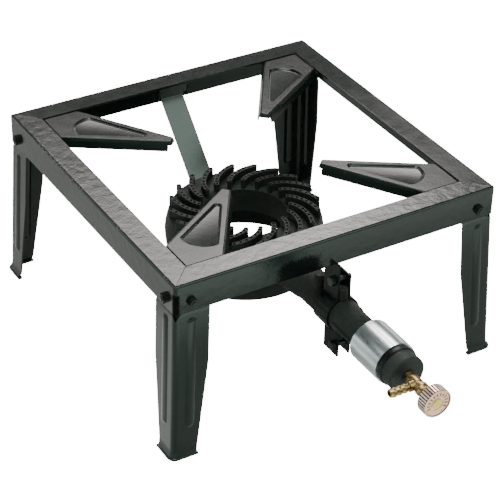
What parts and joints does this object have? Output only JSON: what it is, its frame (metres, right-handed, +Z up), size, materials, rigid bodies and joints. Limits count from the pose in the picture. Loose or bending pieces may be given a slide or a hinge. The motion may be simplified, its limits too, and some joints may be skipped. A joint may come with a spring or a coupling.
{
  "type": "propane burner stand",
  "caption": "Low square four-legged gas cooking stand of dark enamelled steel with corner pot supports, a spiral-ribbed cast ring burner, sliding air sleeve and brass gas valve.",
  "frame": {"origin": "on the ground, under the middle of the stand's overall length and width", "axes": "+Z up; the mixing tube, valve and knob point to -Y; the hose tail points to -X"},
  "size_m": [0.423, 0.5954, 0.217],
  "materials": {
    "frame_enamel": "gloss",
    "leg_enamel": "gloss",
    "support_enamel": "gloss",
    "strap_paint": "satin",
    "clamp_paint": "satin",
    "black_fasteners": "satin",
    "cast_iron_black": "matt",
    "cap_black": "matt",
    "zinc_sleeve": "bright",
    "brass": "satin",
    "knob_yellow_zinc": "satin",
    "knob_disc_yellow": "satin",
    "packing_rubber": "matt"
  },
  "bodies": {
    "stand": {"rail_front": "frame_enamel", "rail_back": "frame_enamel", "rail_left": "frame_enamel", "rail_right": "frame_enamel", "leg_front_left": "leg_enamel", "leg_front_right": "leg_enamel", "leg_back_left": "leg_enamel", "leg_back_right": "leg_enamel", "pot_support_front_left": "support_enamel", "pot_support_front_right": "support_enamel", "pot_support_back_left": "support_enamel", "pot_support_back_right": "support_enamel", "leg_bolts": "black_fasteners", "leg_nuts": "black_fasteners", "burner_strap": "strap_paint", "strap_bolt": "black_fasteners", "burner_head": "cast_iron_black", "mixing_tube": "cast_iron_black", "clamp_left": "clamp_paint", "clamp_right": "clamp_paint", "clamp_bolts": "black_fasteners", "end_cap": "cap_black", "injector": "brass", "valve_body": "brass", "hose_barb": "brass", "gland_nut": "brass", "gland_packing": "packing_rubber"},
    "sleeve": {"air_sleeve": "zinc_sleeve"},
    "spindle": {"valve_spindle": "brass"},
    "knob": {"control_knob": "knob_yellow_zinc", "knob_disc": "knob_disc_yellow"}
  },
  "joints": [
    {"name": "air_sleeve_slide", "type": "slide", "parent": "stand", "child": "sleeve", "axis": [0, 1, 0], "range_m": [0, 0.04]},
    {"name": "spindle_lift", "type": "slide", "parent": "stand", "child": "spindle", "axis": [0, -1, 0], "range_m": [0, 0.0015]},
    {"name": "knob_turn", "type": "hinge", "parent": "spindle", "child": "knob", "pos_m": [0, -0.29125, 0.12], "axis": [0, -1, 0], "range_deg": [0, 540]}
  ],
  "couplings": [
    {"joint": "spindle_lift", "follows": "knob_turn", "m_per_rad": 0.000159}
  ]
}
